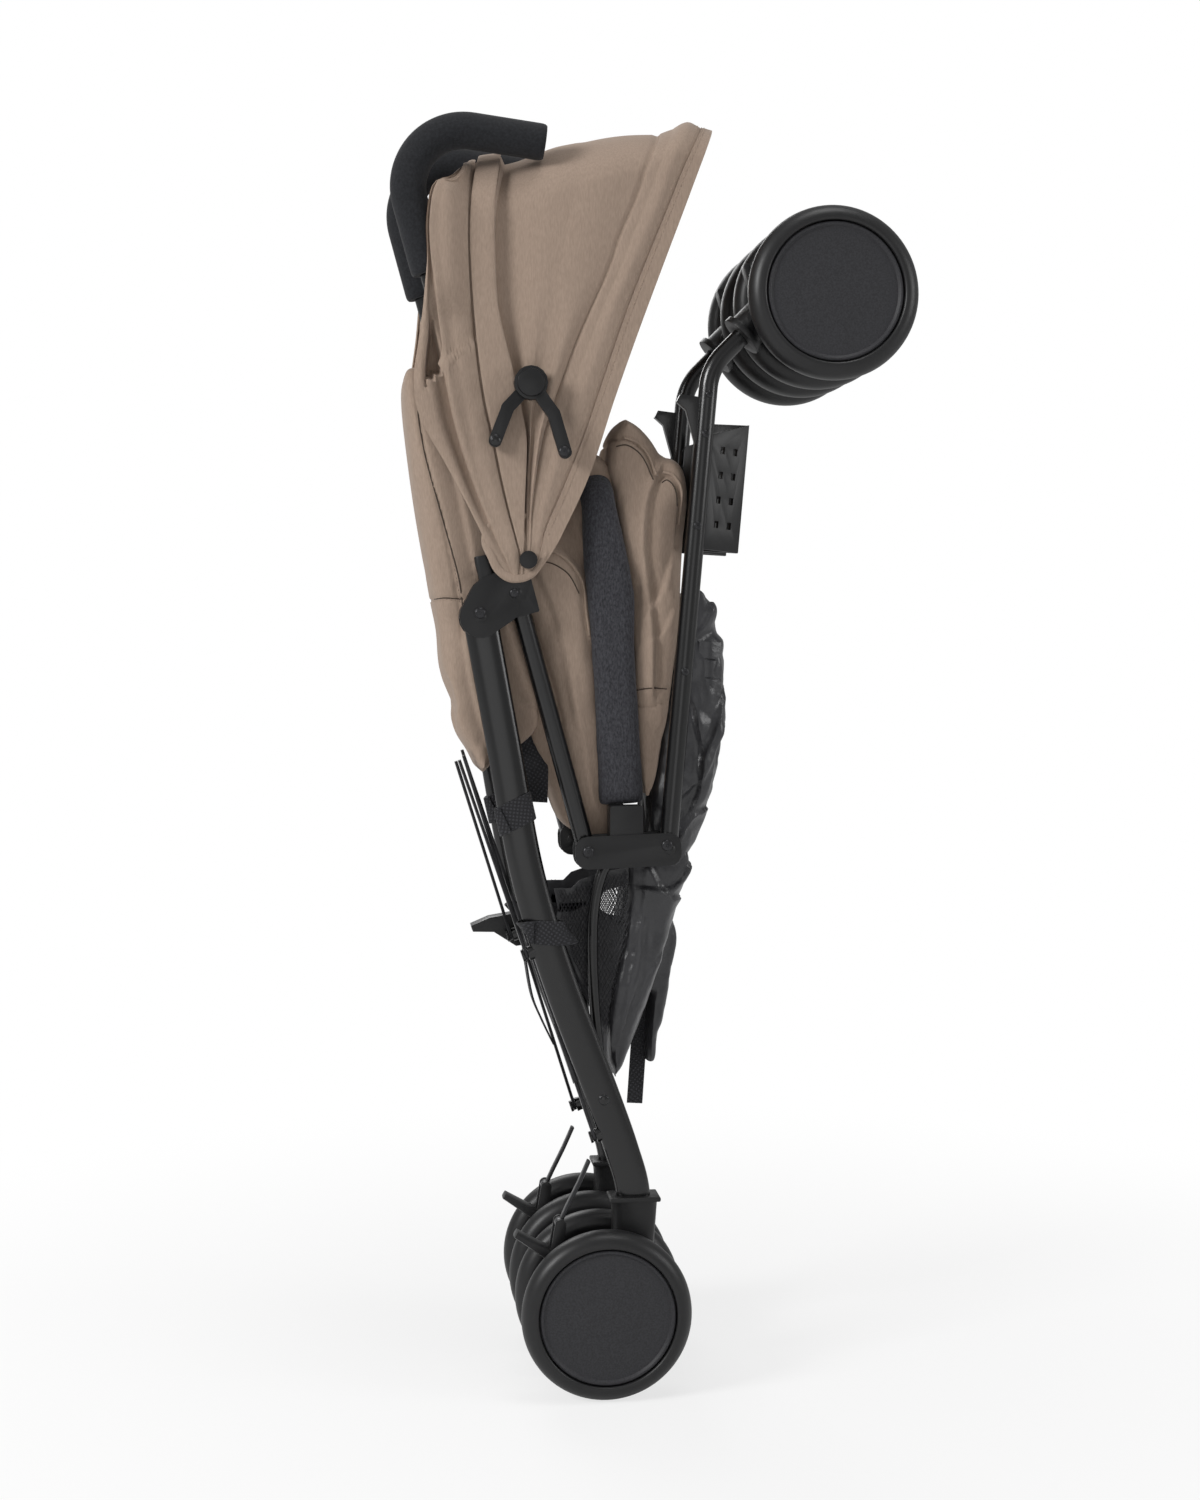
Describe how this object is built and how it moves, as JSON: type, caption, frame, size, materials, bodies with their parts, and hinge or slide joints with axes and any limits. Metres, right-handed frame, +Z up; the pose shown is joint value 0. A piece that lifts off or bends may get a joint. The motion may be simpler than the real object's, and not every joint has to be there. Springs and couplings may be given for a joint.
{
  "type": "umbrella-fold stroller",
  "caption": "Umbrella-fold stroller stored folded: handles, hinged side frames with crossing rear brace, twin wheels, swivel casters, hood, seat, bumper bar and footrest.",
  "frame": {"origin": "under the middle of the folded stroller's bounding box, at the level of the floor that its rear wheels stand on", "axes": "+Z up, +X to the front of the folded stroller, +Y to the stroller's left"},
  "size_m": [0.4369, 0.22, 1.077],
  "materials": {
    "powder_coat": "satin black powder coat",
    "black_plastic": "fine textured black plastic",
    "tyre_foam": "smooth satin foam tyre, black",
    "grip_foam": "matt black foam",
    "taupe_cloth": "woven polyester, taupe",
    "grey_sleeve": "charcoal melange cloth",
    "black_nylon": "thin black nylon",
    "steel_bar": "black coated flat steel"
  },
  "bodies": {
    "frame_right": {"handle_tube_right": "powder_coat", "handle_grip_right": "grip_foam", "elbow_right": "black_plastic", "canopy_rear_right": "taupe_cloth", "backrest": "taupe_cloth", "seat": "taupe_cloth"},
    "frame_left": {"handle_tube_left": "powder_coat", "handle_grip_left": "grip_foam", "elbow_left": "black_plastic", "canopy_rear_left": "taupe_cloth"},
    "rear_leg_right": {"rear_leg_right": "powder_coat", "rear_housing_right": "black_plastic", "basket_rear_right": "black_nylon"},
    "rear_leg_left": {"rear_leg_left": "powder_coat", "rear_housing_left": "black_plastic"},
    "basket_left": {"basket_rear_left": "black_nylon"},
    "link_right": {"link_plate_right": "black_plastic", "bumper_right": "grey_sleeve"},
    "link_left": {"link_plate_left": "black_plastic"},
    "bumper_left": {"bumper_left": "grey_sleeve"},
    "front_leg_right": {"front_leg_right": "powder_coat", "leg_rest_right": "taupe_cloth", "basket_front": "black_nylon"},
    "front_leg_left": {"front_leg_left": "powder_coat"},
    "leg_rest_left": {"leg_rest_left": "taupe_cloth"},
    "canopy_right": {"canopy_front_right": "taupe_cloth"},
    "canopy_left": {"canopy_front_left": "taupe_cloth"},
    "side_brace_right": {"side_brace_right": "powder_coat"},
    "caster_right": {"caster_right": "black_plastic"},
    "rear_wheel_outer_right": {"rear_wheel_outer_right": "tyre_foam", "hub_cap_rear_right": "black_plastic"},
    "rear_wheel_inner_right": {"rear_wheel_inner_right": "tyre_foam"},
    "front_wheel_outer_right": {"front_wheel_outer_right": "tyre_foam", "hub_cap_front_right": "black_plastic"},
    "front_wheel_inner_right": {"front_wheel_inner_right": "tyre_foam"},
    "brake_pedal_right": {"brake_pedal_right": "black_plastic"},
    "brake_strap_right": {"brake_strap_right": "steel_bar"},
    "x_arm_right": {"x_arm_right": "steel_bar"},
    "x_link_right": {"x_link_right": "steel_bar"},
    "footrest_outer_right": {"footrest_outer_right": "black_plastic"},
    "footrest_inner_right": {"footrest_inner_right": "black_plastic"},
    "stay_rear_right": {"stay_rear_right": "black_plastic"},
    "stay_front_right": {"stay_front_right": "black_plastic"},
    "side_brace_left": {"side_brace_left": "powder_coat"},
    "caster_left": {"caster_left": "black_plastic"},
    "rear_wheel_outer_left": {"rear_wheel_outer_left": "tyre_foam", "hub_cap_rear_left": "black_plastic"},
    "rear_wheel_inner_left": {"rear_wheel_inner_left": "tyre_foam"},
    "front_wheel_outer_left": {"front_wheel_outer_left": "tyre_foam", "hub_cap_front_left": "black_plastic"},
    "front_wheel_inner_left": {"front_wheel_inner_left": "tyre_foam"},
    "brake_pedal_left": {"brake_pedal_left": "black_plastic"},
    "brake_strap_left": {"brake_strap_left": "steel_bar"},
    "x_arm_left": {"x_arm_left": "steel_bar"},
    "x_link_left": {"x_link_left": "steel_bar"},
    "footrest_outer_left": {"footrest_outer_left": "black_plastic"},
    "footrest_inner_left": {"footrest_inner_left": "black_plastic"},
    "stay_rear_left": {"stay_rear_left": "black_plastic"},
    "stay_front_left": {"stay_front_left": "black_plastic"},
    "fold_pedal": {"fold_pedal": "black_plastic"}
  },
  "joints": [
    {"name": "unfold", "type": "hinge", "parent": "frame_right", "child": "link_right", "pos_m": [-0.0555, -0.064, 0.4581], "axis": [0, 1, 0], "range_deg": [0, 75]},
    {"name": "spread_frame", "type": "slide", "parent": "frame_right", "child": "frame_left", "axis": [0, 1, 0], "range_m": [0, 0.2]},
    {"name": "spread_basket", "type": "slide", "parent": "rear_leg_right", "child": "basket_left", "axis": [0, 1, 0], "range_m": [0, 0.2]},
    {"name": "spread_bumper", "type": "slide", "parent": "link_right", "child": "bumper_left", "axis": [0, 1, 0], "range_m": [0, 0.2]},
    {"name": "spread_leg_rest", "type": "slide", "parent": "front_leg_right", "child": "leg_rest_left", "axis": [0, 1, 0], "range_m": [0, 0.2]},
    {"name": "spread_canopy", "type": "slide", "parent": "canopy_right", "child": "canopy_left", "axis": [0, 1, 0], "range_m": [0, 0.2]},
    {"name": "link_pivot_left", "type": "hinge", "parent": "frame_left", "child": "link_left", "pos_m": [-0.0555, 0.064, 0.4581], "axis": [0, 1, 0], "range_deg": [0, 75]},
    {"name": "hood_pivot", "type": "hinge", "parent": "frame_right", "child": "canopy_right", "pos_m": [-0.106, -0.064, 0.7031], "axis": [0, 1, 0], "range_deg": [0, 32]},
    {"name": "rear_leg_pivot_right", "type": "hinge", "parent": "frame_right", "child": "rear_leg_right", "pos_m": [-0.1453, -0.064, 0.6559], "axis": [0, 1, 0], "range_deg": [0, 20.9]},
    {"name": "front_leg_pivot_right", "type": "hinge", "parent": "link_right", "child": "front_leg_right", "pos_m": [0.0136, -0.064, 0.4607], "axis": [0, 1, 0], "range_deg": [0, 57.5]},
    {"name": "side_brace_pivot_right", "type": "hinge", "parent": "rear_leg_right", "child": "side_brace_right", "pos_m": [-0.0419, -0.0463, 0.2482], "axis": [0, 1, 0], "range_deg": [0, 10.4]},
    {"name": "x_arm_pivot_right", "type": "hinge", "parent": "rear_leg_right", "child": "x_arm_right", "pos_m": [-0.0496, -0.064, 0.2158], "axis": [-0.9511, 0, -0.309], "range_deg": [0, 31.2]},
    {"name": "x_link_pivot_right", "type": "hinge", "parent": "rear_leg_right", "child": "x_link_right", "pos_m": [-0.10711, -0.064, 0.37208], "axis": [-0.9511, 0, -0.309], "range_deg": [0, 47.5]},
    {"name": "footrest_hinge_right", "type": "hinge", "parent": "front_leg_right", "child": "footrest_outer_right", "pos_m": [0.03562, -0.053, 0.715], "axis": [0.0863, 0, 0.9963], "range_deg": [0, 57]},
    {"name": "footrest_fold_right", "type": "hinge", "parent": "footrest_outer_right", "child": "footrest_inner_right", "pos_m": [0.08137, -0.02859, 0.71104], "axis": [0.0863, 0, 0.9963], "range_deg": [-114, 0]},
    {"name": "stay_pivot_right", "type": "hinge", "parent": "frame_right", "child": "stay_rear_right", "pos_m": [-0.1334, -0.08, 0.8007], "axis": [0, 1, 0], "range_deg": [0, 51.9]},
    {"name": "stay_knee_right", "type": "hinge", "parent": "stay_rear_right", "child": "stay_front_right", "pos_m": [-0.1043, -0.08, 0.8478], "axis": [0, 1, 0], "range_deg": [-70.3, 0]},
    {"name": "caster_swivel_right", "type": "hinge", "parent": "front_leg_right", "child": "caster_right", "pos_m": [0.07526, -0.064, 0.89164], "axis": [0.7071, 0, 0.7071], "range_deg": [-95, 8]},
    {"name": "brake_pedal_pivot_right", "type": "hinge", "parent": "rear_leg_right", "child": "brake_pedal_right", "pos_m": [-0.0626, -0.064, 0.102], "axis": [0, 1, 0], "range_deg": [-12, 0]},
    {"name": "brake_strap_pivot_right", "type": "hinge", "parent": "brake_pedal_right", "child": "brake_strap_right", "pos_m": [-0.0789, -0.064, 0.1423], "axis": [0, 1, 0], "range_deg": [0, 15.9]},
    {"name": "rear_wheel_outer_spin_right", "type": "hinge", "parent": "rear_leg_right", "child": "rear_wheel_outer_right", "pos_m": [-0.0426, -0.097, 0.072], "axis": [0, 1, 0], "continuous": true},
    {"name": "rear_wheel_inner_spin_right", "type": "hinge", "parent": "rear_leg_right", "child": "rear_wheel_inner_right", "pos_m": [-0.0426, -0.031, 0.072], "axis": [0, 1, 0], "continuous": true},
    {"name": "front_wheel_outer_spin_right", "type": "hinge", "parent": "caster_right", "child": "front_wheel_outer_right", "pos_m": [0.1464, -0.097, 0.924], "axis": [0, 1, 0], "continuous": true},
    {"name": "front_wheel_inner_spin_right", "type": "hinge", "parent": "caster_right", "child": "front_wheel_inner_right", "pos_m": [0.1464, -0.031, 0.924], "axis": [0, 1, 0], "continuous": true},
    {"name": "rear_leg_pivot_left", "type": "hinge", "parent": "frame_left", "child": "rear_leg_left", "pos_m": [-0.1453, 0.064, 0.6559], "axis": [0, 1, 0], "range_deg": [0, 20.9]},
    {"name": "front_leg_pivot_left", "type": "hinge", "parent": "link_left", "child": "front_leg_left", "pos_m": [0.0136, 0.064, 0.4607], "axis": [0, 1, 0], "range_deg": [0, 57.5]},
    {"name": "side_brace_pivot_left", "type": "hinge", "parent": "rear_leg_left", "child": "side_brace_left", "pos_m": [-0.0419, 0.0463, 0.2482], "axis": [0, 1, 0], "range_deg": [0, 10.4]},
    {"name": "x_arm_pivot_left", "type": "hinge", "parent": "rear_leg_left", "child": "x_arm_left", "pos_m": [-0.05264, 0.064, 0.21481], "axis": [0.9511, 0, 0.309], "range_deg": [0, 31.2]},
    {"name": "x_link_pivot_left", "type": "hinge", "parent": "rear_leg_left", "child": "x_link_left", "pos_m": [-0.11015, 0.064, 0.37109], "axis": [0.9511, 0, 0.309], "range_deg": [0, 47.5]},
    {"name": "footrest_hinge_left", "type": "hinge", "parent": "front_leg_left", "child": "footrest_outer_left", "pos_m": [0.03562, 0.053, 0.715], "axis": [-0.0863, 0, -0.9963], "range_deg": [0, 57]},
    {"name": "footrest_fold_left", "type": "hinge", "parent": "footrest_outer_left", "child": "footrest_inner_left", "pos_m": [0.08137, 0.02859, 0.71104], "axis": [-0.0863, 0, -0.9963], "range_deg": [-114, 0]},
    {"name": "stay_pivot_left", "type": "hinge", "parent": "frame_left", "child": "stay_rear_left", "pos_m": [-0.1334, 0.08, 0.8007], "axis": [0, 1, 0], "range_deg": [0, 51.9]},
    {"name": "stay_knee_left", "type": "hinge", "parent": "stay_rear_left", "child": "stay_front_left", "pos_m": [-0.1043, 0.08, 0.8478], "axis": [0, 1, 0], "range_deg": [-70.3, 0]},
    {"name": "caster_swivel_left", "type": "hinge", "parent": "front_leg_left", "child": "caster_left", "pos_m": [0.07526, 0.064, 0.89164], "axis": [0.7071, 0, 0.7071], "range_deg": [-8, 95]},
    {"name": "brake_pedal_pivot_left", "type": "hinge", "parent": "rear_leg_left", "child": "brake_pedal_left", "pos_m": [-0.0626, 0.064, 0.102], "axis": [0, 1, 0], "range_deg": [-12, 0]},
    {"name": "brake_strap_pivot_left", "type": "hinge", "parent": "brake_pedal_left", "child": "brake_strap_left", "pos_m": [-0.0789, 0.064, 0.1423], "axis": [0, 1, 0], "range_deg": [0, 15.9]},
    {"name": "rear_wheel_outer_spin_left", "type": "hinge", "parent": "rear_leg_left", "child": "rear_wheel_outer_left", "pos_m": [-0.0426, 0.097, 0.072], "axis": [0, 1, 0], "continuous": true},
    {"name": "rear_wheel_inner_spin_left", "type": "hinge", "parent": "rear_leg_left", "child": "rear_wheel_inner_left", "pos_m": [-0.0426, 0.031, 0.072], "axis": [0, 1, 0], "continuous": true},
    {"name": "front_wheel_outer_spin_left", "type": "hinge", "parent": "caster_left", "child": "front_wheel_outer_left", "pos_m": [0.1464, 0.097, 0.924], "axis": [0, 1, 0], "continuous": true},
    {"name": "front_wheel_inner_spin_left", "type": "hinge", "parent": "caster_left", "child": "front_wheel_inner_left", "pos_m": [0.1464, 0.031, 0.924], "axis": [0, 1, 0], "continuous": true},
    {"name": "fold_pedal_pivot", "type": "hinge", "parent": "rear_leg_left", "child": "fold_pedal", "pos_m": [-0.0971, 0.064, 0.372], "axis": [0, 1, 0], "range_deg": [-15, 0], "stiffness_Nm_per_rad": 1}
  ],
  "couplings": [
    {"joint": "spread_frame", "follows": "unfold", "m_per_rad": 0.15279},
    {"joint": "spread_basket", "follows": "unfold", "m_per_rad": 0.15279},
    {"joint": "spread_bumper", "follows": "unfold", "m_per_rad": 0.15279},
    {"joint": "spread_leg_rest", "follows": "unfold", "m_per_rad": 0.15279},
    {"joint": "spread_canopy", "follows": "unfold", "m_per_rad": 0.15279},
    {"joint": "link_pivot_left", "follows": "unfold", "ratio": 1},
    {"joint": "hood_pivot", "follows": "unfold", "ratio": 0.42667},
    {"joint": "rear_leg_pivot_right", "follows": "unfold", "ratio": 0.27867},
    {"joint": "front_leg_pivot_right", "follows": "unfold", "ratio": 0.76667},
    {"joint": "side_brace_pivot_right", "follows": "unfold", "ratio": 0.13867},
    {"joint": "x_arm_pivot_right", "follows": "unfold", "ratio": 0.416},
    {"joint": "x_link_pivot_right", "follows": "unfold", "ratio": 0.63333},
    {"joint": "footrest_hinge_right", "follows": "unfold", "ratio": 0.76},
    {"joint": "footrest_fold_right", "follows": "unfold", "ratio": -1.52},
    {"joint": "stay_pivot_right", "follows": "unfold", "ratio": 0.692},
    {"joint": "stay_knee_right", "follows": "unfold", "ratio": -0.93733},
    {"joint": "brake_strap_pivot_right", "follows": "brake_pedal_pivot_right", "ratio": -1.325},
    {"joint": "rear_leg_pivot_left", "follows": "unfold", "ratio": 0.27867},
    {"joint": "front_leg_pivot_left", "follows": "unfold", "ratio": 0.76667},
    {"joint": "side_brace_pivot_left", "follows": "unfold", "ratio": 0.13867},
    {"joint": "x_arm_pivot_left", "follows": "unfold", "ratio": 0.416},
    {"joint": "x_link_pivot_left", "follows": "unfold", "ratio": 0.63333},
    {"joint": "footrest_hinge_left", "follows": "unfold", "ratio": 0.76},
    {"joint": "footrest_fold_left", "follows": "unfold", "ratio": -1.52},
    {"joint": "stay_pivot_left", "follows": "unfold", "ratio": 0.692},
    {"joint": "stay_knee_left", "follows": "unfold", "ratio": -0.93733},
    {"joint": "brake_strap_pivot_left", "follows": "brake_pedal_pivot_left", "ratio": -1.325}
  ]
}
